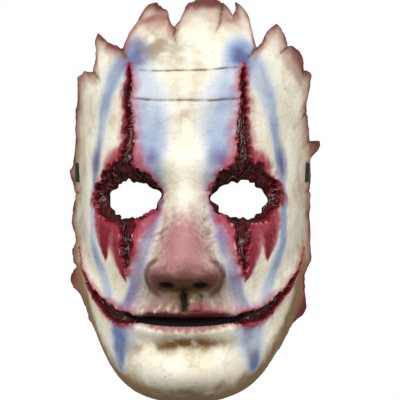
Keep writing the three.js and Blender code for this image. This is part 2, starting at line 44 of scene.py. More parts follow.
# the form of the face: the same tables as the solids, in shares of the named sizes
face = {
    "width": 136.0,
    "height": 238.0,
    "depth": 96.0,
    "wall": 2.2,
    "squareness": 2.35,
    "wrapShare": 0.58,  # wrap radius, of the width
    "restUp": 52.0,  # where the forehead rests: the origin
    "noseReach": 25.0,
    "noseWidth": 29.0,
    "mouthDrop": 71.0,
    "mouthWidth": 54.0,
    "mouthGap": 5.0,
    "lipFullness": 4.2,
    # up, height, reach, half, rise
    "sections": [
        (0.66, 0.486, 0.02, 0.16, 0), (0.6, 0.48, 0.22, 0.38, 0), (0.55, 0.466, 0.43, 0.57, 0),
        (0.49, 0.435, 0.63, 0.74, 0), (0.41, 0.378, 0.8, 0.88, 0), (0.31, 0.296, 0.925, 0.96, 0),
        (0.2, 0.196, 0.985, 0.99, 0), (0.09, 0.09, 1, 1, 0), (0, 0, 0.975, 1, 0),
        (-0.1, -0.1, 0.965, 1, 0.01), (-0.2, -0.2, 0.97, 1, 0.055), (-0.3, -0.298, 0.98, 0.98, 0.11),
        (-0.4, -0.396, 0.975, 0.91, 0.165), (-0.47, -0.46, 0.94, 0.82, 0.195),
        (-0.53, -0.497, 0.84, 0.72, 0.215), (-0.6, -0.507, 0.66, 0.62, 0.225),
        (-0.68, -0.502, 0.45, 0.54, 0.225),
    ],
    # across, up, out, wide, tall
    "forms": [
        (0, 0.085, 0.022, 0.07, 0.035),  # between the brows
        (0.185, 0.085, 0.05, 0.115, 0.034),  # brow
        (0.205, 0, -0.1, 0.098, 0.044),  # socket
        (0.1, 0.012, -0.06, 0.045, 0.04),  # socket corner
        (0.43, 0.13, -0.03, 0.09, 0.09),  # temple
        (0.32, -0.1, 0.06, 0.115, 0.05),  # cheekbone
        (0.18, -0.13, 0.035, 0.07, 0.05),  # front of the cheek
        (0.34, -0.27, -0.04, 0.1, 0.06),  # cheek hollow
        (0, -0.285, 0.075, 0.17, 0.08),  # muzzle
        (0, -0.365, -0.05, 0.12, 0.02),  # fold over the chin
        (0, -0.43, 0.1, 0.105, 0.045),  # chin
        (0.088, -0.18, 0.085, 0.028, 0.022),  # nose wing
        (0.135, -0.183, -0.017, 0.026, 0.034),  # crease round the wing
        (0, -0.245, -0.016, 0.018, 0.018),  # groove under the nose
    ],
    # up, out, half
    "noseRidge": [
        (0.11, 0, 0.6), (0.06, 0.05, 0.56), (0.015, 0.25, 0.54), (-0.05, 0.52, 0.58),
        (-0.115, 0.82, 0.72), (-0.15, 0.97, 0.86), (-0.17, 1, 0.92), (-0.187, 0.9, 0.97),
        (-0.202, 0.55, 0.98), (-0.218, 0.12, 0.96), (-0.24, 0, 0.9),
    ],
}


def gauss(distance, spread):
    return np.exp(-0.5 * (distance / spread) ** 2)


def smooth(low, high, value):
    share = np.clip((value - low) / (high - low), 0, 1)
    return share * share * (3 - 2 * share)


def unit(vectors):
    return vectors / np.linalg.norm(vectors, axis=-1, keepdims=True)


# a smooth curve through one column of a table, level beyond its ends
def curveAt(rows, column, at):
    line = np.array(sorted(rows), float)
    keys = line[:, 0]
    values = line[:, column]
    before = np.maximum(np.arange(len(keys)) - 1, 0)
    after = np.minimum(np.arange(len(keys)) + 1, len(keys) - 1)
    slope = (values[after] - values[before]) / (keys[after] - keys[before])
    x = np.clip(at, keys[0], keys[-1])
    b = np.clip(np.searchsorted(keys, x, side="left"), 1, len(keys) - 1)
    a = b - 1
    span = keys[b] - keys[a]
    u = (x - keys[a]) / span
    return (
        values[a] * (1 + 2 * u) * (1 - u) ** 2
        + values[b] * u * u * (3 - 2 * u)
        + slope[a] * span * u * (1 - u) ** 2
        - slope[b] * span * u * u * (1 - u)
    )


def ovalReach(sine, cosine, half, reach, squareness):
    total = np.abs(sine / half) ** squareness + np.abs(cosine / reach) ** squareness
    return total ** (-1 / squareness)


def noseRaise(across, up):
    share = up / face["height"]
    half = curveAt(face["noseRidge"], 2, share) * face["noseWidth"] / 2
    out = curveAt(face["noseRidge"], 1, share)
    return face["noseReach"] * out * np.exp(-1.3 * np.abs(across / half) ** 2.3)


# the lips end at the mouth corners
def lipTaper(across):
    return np.maximum(1 - (across / (face["mouthWidth"] / 2)) ** 2, 0) ** 0.6


def lipRaise(across, up):
    fullness = face["lipFullness"]
    height = up + face["mouthDrop"]
    upper = 0.9 * gauss(height - fullness * 1.15, fullness * 0.62)
    lower = gauss(height + fullness * 1.35, fullness * 0.8)
    roll = 1.3 * gauss(height, fullness * 0.55)
    return fullness * lipTaper(across) * (upper + lower - roll)


def formRaise(across, up):
    total = np.zeros_like(across)
    for atAcross, atUp, out, wide, tall in face["forms"]:
        rise = gauss(up - atUp * face["height"], tall * face["height"])
        for side in [0] if atAcross == 0 else [-1, 1]:
            width = gauss(across - side * atAcross * face["width"], wide * face["width"])
            total = total + out * face["depth"] * width * rise
    return total


def facePoint(across, up):
    angle = across / (face["wrapShare"] * face["width"])
    sine, cosine = np.sin(angle), np.cos(angle)
    share = up / face["height"]
    height, reach, half, rise = [curveAt(face["sections"], column, share) for column in (1, 2, 3, 4)]
    oval = ovalReach(sine, cosine, half * face["width"] / 2, reach * face["depth"], face["squareness"])
    radius = oval + formRaise(across, up) + noseRaise(across, up) + lipRaise(across, up)
    level = face["height"] * (height + rise * (1 - cosine))
    return np.stack([radius * sine, -radius * cosine, level], axis=-1)


def faceNormal(across, up, step=0.8):
    sideways = facePoint(across + step, up) - facePoint(across - step, up)
    upwards = facePoint(across, up + step) - facePoint(across, up - step)
    return unit(np.cross(sideways, upwards))


# the torn edge
edge = {
    "halfWidth": 113.0,
    "top": 131.0,
    "bottom": 137.0,
    "centreDrop": 10.0,
    "flare": 8.0,
    "flareWidth": 44.0,
    "squareTop": 1.85,
    "squareBottom": 2.3,
    "ragged": 1.5,  # mm of small tears
    "thinTo": 0.55,  # share of the wall left at the very edge
    "tipCurl": 3.0,  # how far the torn tips stand off
    "curl": 0.8,
    "roll": 0.7,
    "splitDepth": 0.7,
    "petal": 0.9,  # below 1 the tips bulge, above 1 they hollow
    # at degrees, out, half width in degrees
    "tears": [
        (103.5, 0.055, 7.5), (84, 0.105, 9), (76.5, 0.036, 3), (72, 0.075, 3), (61.5, 0.055, 4.5),
        (51, 0.06, 9), (42, 0.06, 4.5), (21, 0.07, 3), (120, 0.04, 3), (135, 0.02, 6),
        (148.5, 0.012, 6), (166.5, 0.03, 7.5), (181.5, 0.045, 7.5), (196.5, 0.055, 6), (208.5, 0.06, 6),
        (229.5, 0.05, 7.5), (249, 0.018, 7.5), (273, 0.022, 9), (297, 0.02, 7.5), (321, 0.05, 6),
        (342, 0.01, 6), (0, -0.012, 7.5), (67.5, -0.04, 3), (94.5, -0.034, 3), (111, -0.05, 6),
        (126, -0.034, 4.5), (222, -0.026, 3), (238.5, -0.03, 3), (309, -0.03, 4.5), (333, -0.045, 7.5),
    ],
}


def plainEdge(angle):
    sine, cosine = np.sin(angle), np.cos(angle)
    over = ovalReach(cosine, sine, edge["halfWidth"], edge["top"], edge["squareTop"])
    under = ovalReach(cosine, sine, edge["halfWidth"], edge["bottom"], edge["squareBottom"])
    return np.where(sine > 0, over, under)


def tornEdge(angle):
    degrees = np.degrees(angle) % 360
    reach = plainEdge(angle)
    for at, out, half in edge["tears"]:
        apart = np.abs((degrees - at + 180) % 360 - 180)
        reach = reach + out * face["height"] * np.maximum(1 - apart / half, 0) ** edge["petal"]
    return reach


# angle and distance from the middle of the edge
def aroundEdge(across, up):
    height = up + edge["centreDrop"]
    return np.arctan2(height, across), np.hypot(across, height)


def edgeLift(across, up):
    angle, reach = aroundEdge(across, up)
    start = -0.6 * edge["flareWidth"]
    lift = edge["flare"] * smooth(start, start + edge["flareWidth"], reach - plainEdge(angle))
    return lift * smooth(-0.97, -0.5, np.sin(angle))


# points this far off the face's own form
def raised(across, up, lift):
    return facePoint(across, up) + faceNormal(across, up) * lift[..., None]


def latexPoint(across, up, above):
    across = np.array([across], float)
    up = np.array([up], float)
    return raised(across, up, edgeLift(across, up) + above - face["wall"])[0]


# from the face's own millimetres to metres round the mount
def inFrame(points):
    return (points - latexPoint(0, face["restUp"], 0)) / 1000


# a value between the points of a grid, which repeats beyond its ends
def readGrid(values, column, row, x, y):
    height, width = values.shape
    right = (column + 1) % width
    column = column % width
    lines = []
    for line in (row % height, (row + 1) % height):
        lines.append(values[line, column] * (1 - x) + values[line, right] * x)
    return lines[0] * (1 - y) + lines[1] * y


# noise that sticks to the latex
def patch(x, y, size, seed):
    column = np.floor(x / size).astype(int)
    row = np.floor(y / size).astype(int)
    u = x / size - column
    v = y / size - row
    lattice = np.random.RandomState(seed).rand(256, 256)
    return readGrid(lattice, column, row, u * u * (3 - 2 * u), v * v * (3 - 2 * v))


# centred on zero, about -1 to 1
def grain(x, y, size, seed):
    total = 0.6 * patch(x, y, size, seed) + 0.3 * patch(x, y, size * 0.47, seed + 1)
    total = total + 0.1 * patch(x, y, size * 0.21, seed + 2)
    return 2 * total - 1


# wounds: each is a distance in mm, below zero inside
wound = {
    "eyeSpacing": 64.0,
    "holeWidth": 34.0,
    "holeHeight": 19.0,
    "holeSquareness": 1.7,
    "eyeWidth": 52.0,
    "eyeHeight": 35.0,
    "eyeRise": 1.5,
    "swell": 1.6,
    "swellReach": 5.0,
    "lip": 1.3,  # torn rim
    "depth": 2.9,
    "bowl": 1.2,  # deeper beside the eye hole
    "flesh": 0.42,  # ridges of flesh
    "spike": 2.6,  # latex teeth that point into the wound
    "spikePitch": 7.5,
    "smileEnd": 0.82,  # of the edge's half width
    # up, shift, half
    "gash": [
        (0.355, 0, 0), (0.3, -0.06, 0.035), (0.25, -0.08, 0.05), (0.19, -0.12, 0.075),
        (0.126, -0.12, 0.095), (0.063, -0.1, 0.15), (0, 0, 0.2), (-0.063, -0.08, 0.12),
        (-0.126, -0.13, 0.065), (-0.185, -0.11, 0),
    ],
    # along, climb, half
    "smile": [
        (0, 0, 0.5), (0.25, 0.004, 0.78), (0.5, 0.035, 0.7), (0.75, 0.09, 0.4), (1, 0.16, 0),
    ],
}


def eyeOutward(across):
    return np.abs(across) - wound["eyeSpacing"] / 2


def gashGap(across, up):
    share = up / face["height"]
    half = curveAt(wound["gash"], 2, share) * wound["eyeHeight"]
    shift = curveAt(wound["gash"], 1, share) * wound["eyeHeight"]
    top = wound["gash"][0][0] * face["height"]
    bottom = wound["gash"][-1][0] * face["height"]
    beyond = np.maximum(np.maximum(up - top, bottom - up), 0)
    return np.abs(eyeOutward(across) - shift) - half + 2 * beyond


def eyeGap(across, up):
    wide = np.abs(eyeOutward(across) / (wound["eyeWidth"] / 2)) ** 1.5
    tall = np.abs((up - wound["eyeRise"]) / (wound["eyeHeight"] / 2)) ** 1.5
    return ((wide + tall) ** (1 / 1.5) - 1) * wound["eyeHeight"] / 2


def smilePlace(across):
    start = face["mouthWidth"] / 2 - 3
    end = wound["smileEnd"] * edge["halfWidth"]
    along = (np.abs(across) - start) / (end - start)
    middle = -face["mouthDrop"] + curveAt(wound["smile"], 1, along) * face["height"]
    return along, middle, end - start


def smileGap(across, up):
    along, middle, length = smilePlace(across)
    beyond = np.maximum(np.maximum(-along, along - 1), 0) * length
    return np.abs(up - middle) - curveAt(wound["smile"], 2, along) * face["mouthGap"] + beyond


def eyeHole(across, up):
    side = np.sign(across)
    outward = eyeOutward(across)
    angle = np.arctan2(up, outward)
    half = wound["holeWidth"] / 2
    reach = ovalReach(np.cos(angle), np.sin(angle), half, wound["holeHeight"] / 2, wound["holeSquareness"])
    ragged = 0.05 * np.sin(5 * angle + 1) + 0.04 * np.sin(9 * angle)
    ragged = ragged + 0.05 * np.sin(14 * angle + 2 * side)
    return np.hypot(outward, up) - reach * (1 + ragged)


def ovalHole(across, up, atAcross, atUp, width, height):
    scaled = np.hypot((across - atAcross) / (width / 2), (up - atUp) / (height / 2))
    return (scaled - 1) * min(width, height) / 2


def slotHole(across, up, atAcross, atUp, width, height):
    return np.maximum(np.abs(across - atAcross) - width / 2, np.abs(up - atUp) - height / 2)


def mouthGap(across, up):
    along = across / (0.5 * face["mouthWidth"])
    opening = face["mouthGap"] / 2 * np.maximum(1 - along * along, 0) ** 0.3
    return np.abs(up + face["mouthDrop"]) - opening + np.maximum(np.abs(along) - 1, 0) * 20


# pits and slots in the nose and lip, as distances
def nostrilGap(across, up):
    spacing, drop, width, height = latexFace["nostrils"]
    return ovalHole(np.abs(across), up, spacing / 2, -drop, width, height)


def breathGap(across, up, name):
    drop, width, height = latexFace[name]
    return ovalHole(across, up, 0, -drop, width, height)


def facesOf(*corners):
    return np.stack(corners, axis=1)


# splits every triangle that touches a marked point in four, and its neighbours to match
def splitNear(points, triangles, marked):
    size = len(points)
    sides = np.stack([triangles, np.roll(triangles, -1, axis=1)], axis=2)
    keys = sides.min(axis=2) * size + sides.max(axis=2)
    splitKeys = np.unique(keys[marked[triangles].any(axis=1)])
    middles = (points[splitKeys // size] + points[splitKeys % size]) / 2
    place = np.minimum(np.searchsorted(splitKeys, keys), len(splitKeys) - 1)
    isSplit = splitKeys[place] == keys
    middle = size + place
    count = isSplit.sum(axis=1)
    result = [triangles[count == 0]]
    a, b, c = triangles[count == 3].T
    ab, bc, ca = middle[count == 3].T
    for corners in ((a, ab, ca), (ab, b, bc), (ca, bc, c), (ab, bc, ca)):
        result.append(facesOf(*corners))
    for turn in range(3):
        lone = (count == 1) & isSplit[:, turn]
        a, b, c = np.roll(triangles[lone], -turn, axis=1).T
        ab = middle[lone, turn]
        for corners in ((a, ab, c), (ab, b, c)):
            result.append(facesOf(*corners))
        whole = (count == 2) & ~isSplit[:, turn]
        a, b, c = np.roll(triangles[whole], -turn, axis=1).T
        bc = middle[whole, (turn + 1) % 3]
        ca = middle[whole, (turn + 2) % 3]
        for corners in ((a, b, bc), (a, bc, ca), (ca, bc, c)):
            result.append(facesOf(*corners))
    return np.concatenate([points, middles]), np.concatenate(result)


# keeps the part of each triangle where field is below zero, with new points along the cut
def clipMesh(points, triangles, field):
    inside = field <= 0
    count = inside[triangles].sum(axis=1)
    newPoints = [points]
    edges = {}
    total = len(points)

    def crossing(a, b):
        nonlocal total
        key = (min(a, b), max(a, b))
        if key not in edges:
            share = field[key[0]] / (field[key[0]] - field[key[1]])
            share = min(max(share, 0.04), 0.96)
            newPoints.append((points[key[0]] * (1 - share) + points[key[1]] * share)[None])
            edges[key] = total
            total += 1
        return edges[key]

    cut = []
    for a, b, c in triangles[(count == 1) | (count == 2)].tolist():
        while inside[a] == inside[b] or (inside[b] != inside[c]):
            a, b, c = b, c, a
        # a alone is on its side now
        ab = crossing(a, b)
        ac = crossing(a, c)
        if inside[a]:
            cut.append((a, ab, ac))
        else:
            cut.append((ab, b, c))
            cut.append((ab, c, ac))
    triangles = np.concatenate([triangles[count == 3], cut])
    points = np.concatenate(newPoints)
    used = np.unique(triangles)
    lookup = np.full(len(points), -1)
    lookup[used] = np.arange(len(used))
    return points[used], lookup[triangles]


# the side faces of a tube of rings
def tubeFaces(rings, sides):
    row = np.arange(rings - 1)[:, None] * sides
    a = (row + np.arange(sides)).ravel()
    b = (row + (np.arange(sides) + 1) % sides).ravel()
    return np.concatenate([facesOf(a, b + sides, b), facesOf(a, a + sides, b + sides)])


def addObject(name, data):
    thing = bpy.data.objects.new(name, data)
    bpy.context.collection.objects.link(thing)
    return thing


def makeMesh(name, positions, faces, attributes=None, sharpAngle=40):
    mesh = bpy.data.meshes.new(name)
    mesh.vertices.add(len(positions))
    mesh.vertices.foreach_set("co", np.asarray(positions, float).ravel())
    faces = np.asarray(faces)
    sides = faces.shape[1]
    mesh.loops.add(faces.size)
    mesh.loops.foreach_set("vertex_index", faces.ravel())
    mesh.polygons.add(len(faces))
    mesh.polygons.foreach_set("loop_start", np.arange(len(faces)) * sides)
    mesh.update(calc_edges=True)
    for key, values in (attributes or {}).items():
        layer = mesh.attributes.new(key, "FLOAT", "POINT")
        layer.data.foreach_set("value", np.asarray(values, float))
    mesh.shade_smooth()
    mesh.set_sharp_from_angle(angle=math.radians(sharpAngle))
    mesh.validate()
    return addObject(name, mesh)


def linear(colour):
    values = [value / 12.92 if value <= 0.04045 else ((value + 0.055) / 1.055) ** 2.4 for value in colour]
    return (*values, 1.0)


def startFinish(name):
    finish = bpy.data.materials.new(name)
    finish.use_nodes = True
    return finish, finish.node_tree, finish.node_tree.nodes["Principled BSDF"]


# a node's output that adds, multiplies and fades like a number
class Wire:
    def __init__(self, tree, socket):
        self.tree = tree
        self.socket = socket

    def mathNode(self, operation, a, b=0.0):
        node = addNode(self.tree, "Math", {0: a, 1: b})
        node.operation = operation
        return Wire(self.tree, node.outputs[0])

    def __add__(self, other):
        return self.mathNode("ADD", self, other)

    def __sub__(self, other):
        return self.mathNode("SUBTRACT", self, other)

    def __rsub__(self, other):
        return self.mathNode("SUBTRACT", other, self)

    def __mul__(self, other):
        return self.mathNode("MULTIPLY", self, other)

    def atLeast(self, other):
        return self.mathNode("MAXIMUM", self, other)

    def sine(self):
        return self.mathNode("SINE", self)

    # smooth step between two values
    def fade(self, low, high):
        low, high, first, last = (low, high, 0, 1) if low < high else (high, low, 1, 0)
        span = {"From Min": low, "From Max": high, "To Min": first, "To Max": last}
        node = addNode(self.tree, "MapRange", {"Value": self} | span)
        node.interpolation_type = "SMOOTHSTEP"
        return Wire(self.tree, node.outputs["Result"])

    # noise centred on zero, this strong
    def wobble(self, strength):
        return (self - 0.5) * strength


def plug(socket, source):
    if isinstance(source, Wire):
        source.tree.links.new(source.socket, socket)
    else:
        socket.default_value = linear(source) if isinstance(source, tuple) else source


def addNode(tree, kind, inputs=None):
    node = tree.nodes.new("ShaderNode" + kind)
    for name, source in (inputs or {}).items():
        plug(node.inputs[name], source)
    return node


def readMask(tree, name):
    node = addNode(tree, "Attribute")
    node.attribute_name = name
    return Wire(tree, node.outputs["Fac"])


def mix(amount, under, over, kind="FLOAT"):
    node = addNode(amount.tree, "Mix")
    node.data_type = kind
    for name, source in (("Factor", amount), ("A", under), ("B", over)):
        plug(node.inputs[name], source)
    return Wire(amount.tree, node.outputs["Result"])


def mixPaint(amount, under, over):
    return mix(amount, under, over, "RGBA")


def objectPlace(tree):
    return Wire(tree, addNode(tree, "TexCoord").outputs["Object"])


# noise with features of this size in mm
def mottle(tree, size, detail=2.0, stretch=None):
    place = objectPlace(tree)
    if stretch:
        mapping = addNode(tree, "Mapping", {"Vector": place, "Scale": stretch})
        place = Wire(tree, mapping.outputs["Vector"])
    node = addNode(tree, "TexNoise", {"Vector": place, "Scale": 1000 / size, "Detail": detail})
    return Wire(tree, node.outputs["Fac"])


def bump(height, depth):
    node = addNode(height.tree, "Bump", {"Strength": 1.0, "Distance": depth / 1000, "Height": height})
    return Wire(height.tree, node.outputs["Normal"])


# the painted latex face
latexFace = {
    "pitch": 1.5,  # halved near wounds, lips and edges
    "sheet": (135, -159, 139),  # side, bottom, top of the sheet before it is cut
    "mouthDepth": 1.8,
    "nostrilDepth": 1.5,
    "grooveDepth": 1.1,
    "folds": [(80, -1.5, 0.7), (60, -1.2, 0.6)],  # up, bow, depth across the forehead
    "nostrils": (14.0, 49.0, 5.5, 3.2),  # spacing, drop, width, height
    "breathGroove": (58.0, 3.4, 12.0),  # drop, width, height
    "breathSlit": (58.0, 1.2, 8.0),
    "slitSlant": 2.0,
    # cracks at the edge: at degrees, length, lean
    "splits": [
        (94.5, 16, -0.2), (77, 30, 0.35), (112, 14, -0.3), (67.5, 15, 0.4), (57, 12, 0.4),
        (34, 10, 0.2), (126, 14, -0.3), (8, 14, 0.1), (173, 14, -0.2), (203, 12, 0.3), (222, 15, -0.3),
        (240, 13, 0.2), (328, 12, 0.3),
    ],
    # painted and stained patches: strength, outward, up, wide, tall
    "patches": {
        "stripeTop": [(1, 32, 90, 8, 9)],
        "stripeDark": [(1, 59, 22, 7, 10), (0.9, 17, 24, 6, 6)],
        "noseTip": [(0.9, 0, -44, 9, 8), (0.8, 11, -48, 4, 5)],
        "slotStain": [(1, 0, -58, 4, 9), (0.7, 0, -52, 12, 4)],
        "muzzleDirt": [(1, 0, -59, 16, 9), (0.6, 17, -48, 3.5, 8)],
    },
    # across, up, half width: painted stripes that frame each eye
    "innerStripe": [
        (33, 94, 7), (27, 80, 8), (20, 62, 9), (17, 44, 9), (16, 26, 7), (15, 8, 4.5), (15, -4, 3.5),
    ],
    "lowStripe": [
        (14, 4, 2.6), (15, -8, 3.4), (18, -22, 3.4), (22, -38, 3.6), (26, -56, 3.8), (30, -68, 3.4),
    ],
    "chinStripe": [
        (33, -73, 8), (35, -84, 8), (37, -95, 6), (38, -104, 4),
    ],
    "outerStripe": [
        (34, 94, 8), (41, 82, 8), (47, 66, 6.5), (53, 42, 5), (59, 20, 4.5), (60, 2, 4.5),
        (56, -22, 4.2), (51, -42, 4.2), (46, -58, 4.2), (43, -68, 3.5),
    ],
}


# distance from a painted stripe's middle, in its own half widths
def stripeGap(across, up, points):
    best = np.full(across.shape, 9.0)
    line = np.array(points, float)
    outward = np.abs(across)
    for (x0, y0, w0), (x1, y1, w1) in zip(line[:-1], line[1:]):
        dx, dy = x1 - x0, y1 - y0
        share = np.clip(((outward - x0) * dx + (up - y0) * dy) / (dx * dx + dy * dy), 0, 1)
        distance = np.hypot(outward - x0 - share * dx, up - y0 - share * dy)
        best = np.minimum(best, distance / (w0 + (w1 - w0) * share))
    return best


# the forehead folds: distance from each, how much of it is there, depth
def foldPlaces(across, up):
    places = []
    for at, bow, depth in latexFace["folds"]:
        middle = at - bow * (across / 30) ** 2 + 1.4 * grain(across, up * 0, 22, int(at))
        reach = smooth(31, 25, np.abs(across + 2 * np.sin(at)))
        places.append((up - middle, reach, depth))
    return places


def foldRaise(across, up):
    total = np.zeros_like(across)
    for distance, reach, depth in foldPlaces(across, up):
        line = gauss(distance, 0.8) - 0.35 * gauss(distance - 3, 2.2) - 0.35 * gauss(distance + 3, 2.2)
        total = total - depth * reach * line
    # cheek fold from the nose wing down past the mouth corner
    share = np.clip((-42 - up) / 38, 0, 1)
    line = np.abs(across) - (17 + 15 * share ** 1.2)
    reach = smooth(-44, -56, up) * smooth(-84, -72, up)
    total = total - reach * (0.8 * gauss(line, 1.3) - 0.7 * gauss(line - 4, 3))
    # small folds beside and under the eye wounds
    for radius, depth in ((33, 0.4), (37, 0.32)):
        ring = np.hypot(eyeOutward(across), 1.25 * (up - 2)) - radius
        reach = smooth(-4, -14, up) * smooth(-36, -24, up)
        total = total - depth * reach * gauss(ring + grain(across, up, 9, int(radius)), 0.7)
    return total


def blur(values, reach, pitch):
    steps = int(3 * reach / pitch)
    weights = gauss(np.arange(-steps, steps + 1) * pitch, reach)
    weights = weights / weights.sum()
    padded = np.pad(values, steps, mode="edge")
    rows = np.apply_along_axis(lambda line: np.convolve(line, weights, mode="valid"), 1, padded)
    return np.apply_along_axis(lambda line: np.convolve(line, weights, mode="valid"), 0, rows)


# reads a value off the sheet's own grid
def readSheet(values, columns, rows, across, up):
    x = np.clip((across - columns[0]) / (columns[1] - columns[0]), 0, len(columns) - 1.001)
    y = np.clip((up - rows[0]) / (rows[1] - rows[0]), 0, len(rows) - 1.001)
    column = x.astype(int)
    row = y.astype(int)
    return readGrid(values, column, row, x - column, y - row)


# narrow teeth where the noise crosses zero
def teeth(across, up, size, seed):
    return 1 - np.minimum(3.2 * np.abs(grain(across, up, size, seed)), 1) ** 0.7


def sheetFields(across, up):
    def noise(size, seed):
        return grain(across, up, size, seed)

    tooth = wound["spike"] * (teeth(across, up, wound["spikePitch"], 11) - 0.3)
    fine = 0.5 * noise(2.0, 17)
    calm = smooth(26, 34, np.abs(across))  # the cut joins the mouth cleanly
    eyeOut = eyeOutward(across)
    eye = eyeGap(across, up) + 1.1 * tooth + 2.6 * noise(9, 19) + fine
    eye = eye + 4 * smooth(-15, -24, eyeOut) - 3.5 * gauss(eyeOut + 3, 11) * smooth(3, 12, up)
    gash = gashGap(across, up) + 0.6 * tooth + 1.3 * fine
    cut = smileGap(across, up) - 0.5 + calm * (0.5 * tooth + fine)
    outward = np.abs(across)
    taper = smooth(33, 27, outward) * smooth(16, 22, outward)
    corner = np.abs(up - smilePlace(across)[1]) - 2.1 * taper
    corner = np.where((outward > 17) & (outward < 33), corner, 9.0)
    angle, beyond = aroundEdge(across, up)
    torn = tornEdge(angle) + 0.5 * edge["ragged"] * noise(4.0, 31)
    torn = torn + 0.5 * noise(2.2, 37)
    return {
        "woundGap": np.minimum(eye, gash),
        "cutGap": cut,
        "edgeGap": torn - beyond,
        "pastPlain": beyond - plainEdge(angle),
        "mouthGap": np.minimum(mouthGap(across, up), corner),
        "holeGap": eyeHole(across, up),
        "nostrilGap": nostrilGap(across, up),
        "grooveGap": breathGap(across, up, "breathGroove") + 0.6 * noise(2.5, 72),
    }


def nearWound(fields):
    return np.minimum(fields["woundGap"], fields["cutGap"])


def latexRelief(across, up, fields):
    def noise(size, seed):
        return grain(across, up, size, seed)

    near = nearWound(fields)
    besideMouth = smooth(-1, 2.5, fields["mouthGap"])
    swell = wound["swell"] * gauss(np.maximum(near, 0), wound["swellReach"]) * besideMouth
    lip = wound["lip"] * gauss(near - 0.6, 0.75) * (0.8 + 0.9 * noise(5.0, 41)) * besideMouth
    floor = wound["depth"] * smooth(0.4, -1.5, near)
    bowl = wound["bowl"] * smooth(-1, -5, fields["woundGap"]) * smooth(9, 1, fields["holeGap"])
    strands = grain(across * 2.4, up * 0.8, 3.4, 47) + 0.5 * noise(1.9, 53)
    flesh = wound["flesh"] * strands * smooth(-0.5, -1.8, near)
    mouth = latexFace["mouthDepth"] * smooth(0.2, -1.3, fields["mouthGap"])
    mouth = mouth + latexFace["nostrilDepth"] * smooth(0.3, -1.0, fields["nostrilGap"])
    mouth = mouth + latexFace["grooveDepth"] * smooth(0.3, -0.8, fields["grooveGap"])
    lipLines = 0.22 * np.sin(across * 3.1 + 2 * noise(5, 59))
    lips = lipLines * gauss(up + face["mouthDrop"], 6) * smooth(27, 22, np.abs(across))
    pores = 0.12 * noise(2.8, 61) + 0.2 * noise(8.0, 67)
    drips = 0.45 * gauss(across - 6.5 - 0.5 * noise(4, 71), 0.6)
    drips = drips * smooth(-68, -65, up) * smooth(-53, -56, up)
    curl = edge["curl"] * noise(13.0, 73) * smooth(12, 0, fields["edgeGap"])
    curl = curl - edge["splitDepth"] * splitLines(across, up)
    tips = edge["tipCurl"] * smooth(1, 11, fields["pastPlain"]) * (0.7 + 0.9 * noise(17, 79))
    roll = edge["roll"] * gauss(fields["edgeGap"] - 1.4, 1.1) * (0.5 + noise(6, 83))
    lift = swell + lip - floor - bowl + flesh - mouth + lips + pores - drips + curl + roll
    return lift + tips + foldRaise(across, up)


# cracks that run inward from the splits in the edge
def splitLines(across, up):
    angle, reach = aroundEdge(across, up)
    total = np.zeros_like(across)
    for at, length, lean in latexFace["splits"]:
        depth = tornEdge(np.array([math.radians(at)]))[0] - reach
        apart = (np.degrees(angle) - at) * math.pi / 180 * reach
        apart = apart - lean * depth + 1.2 * grain(across, up, 7, int(at))
        total = np.maximum(total, gauss(apart, 0.75) * smooth(length, 0.4 * length, depth))
    return total


# a soft patch round one place
def spot(across, up, atAcross, atUp, wide, tall):
    return gauss(across - atAcross, wide) * gauss(up - atUp, tall)


def latexPaintMasks(across, up, facing):
    outward = np.abs(across)
    lips = lipTaper(across)
    height = up + face["mouthDrop"]
    wing = spot(outward, up, 11, -44, 5, 6)
    nose = gauss(across, 11.5) * smooth(12, -24, up) * smooth(-58, -48, up)
    eyeOut = eyeOutward(across)
    # airbrushed red below each eye runs down in two points
    bleed = np.zeros_like(across)
    for lean, reach, wide in ((-1.5, 50, 10), (11, 38, 8.5)):
        spread = np.clip((up + reach) / (reach - 8), 0.05, 1)
        point = gauss(eyeOut - lean, wide * spread) * smooth(-reach - 1, 3 - reach, up)
        point = point * smooth(-2, -12, up)
        bleed = np.maximum(bleed, point)
    crown = spot(eyeOut, up, 0, 20, 9, 7)
    # ochre in the crease under the lower lip: partly stain, partly painted shade
    chinLine = up + 84 + 5 * (across / 24) ** 2 + 4 * grain(across, up, 14, 91)
    chinStainAndShade = gauss(chinLine, 3.4) * gauss(across, 22)
    topStain = spot(across, up, -20, 98, 13, 10) + 0.5 * spot(across, up, 0, 60, 9, 16)
    dripLine = across - 7.5 - 0.9 * grain(across, up, 3, 71)
    nearLip = 0.3 + 0.7 * lips
    # painted shade: darker where the surface turns away from the front, most of all low on the jaw and
    # under the chin
    jaw = smooth(0.5 + 0.3 * smooth(-78, -112, up), 0.1, facing) * (0.35 + 0.9 * smooth(0, -90, up))
    masks = {name: stripeGap(across, up, latexFace[name]) for name in stripeTones}
    for name, patches in latexFace["patches"].items():
        masks[name] = sum(strength * spot(outward, up, *place) for strength, *place in patches)
    return masks | {
        "nosePaint": np.maximum(nose, wing),
        "wingShade": gauss(np.hypot(outward - 8, 0.85 * (up + 45)) - 9.5, 1.3) * smooth(9, 13, outward),
        "upperLip": lips * smooth(0, 1, height) * smooth(11, 3, height / nearLip),
        "lowerLip": lips * smooth(0, -1, height) * smooth(-9.5, -3.5, height / nearLip),
        "lipBleed": gauss(across, 24) * smooth(16, 4, height) * smooth(1, 4, height),
        "dripLine": gauss(dripLine, 0.5) * smooth(-71, -67, up) * smooth(-51, -56, up),
        "redBleed": np.maximum(bleed, 0.8 * crown),
        "foldLine": sum(reach * gauss(apart, 0.75) for apart, reach, depth in foldPlaces(across, up)),
        "ochreStainAndShade": 1.3 * chinStainAndShade + 0.8 * topStain,
        "jawShade": jaw + 0.2 * smooth(66, 108, outward) + 0.9 * smooth(-96, -120, up),
        "bridge": smooth(10, 4, outward) * smooth(-16, -8, up),
        "cutDark": smooth(62, 34, outward),
        "splitLine": splitLines(across, up),
    }


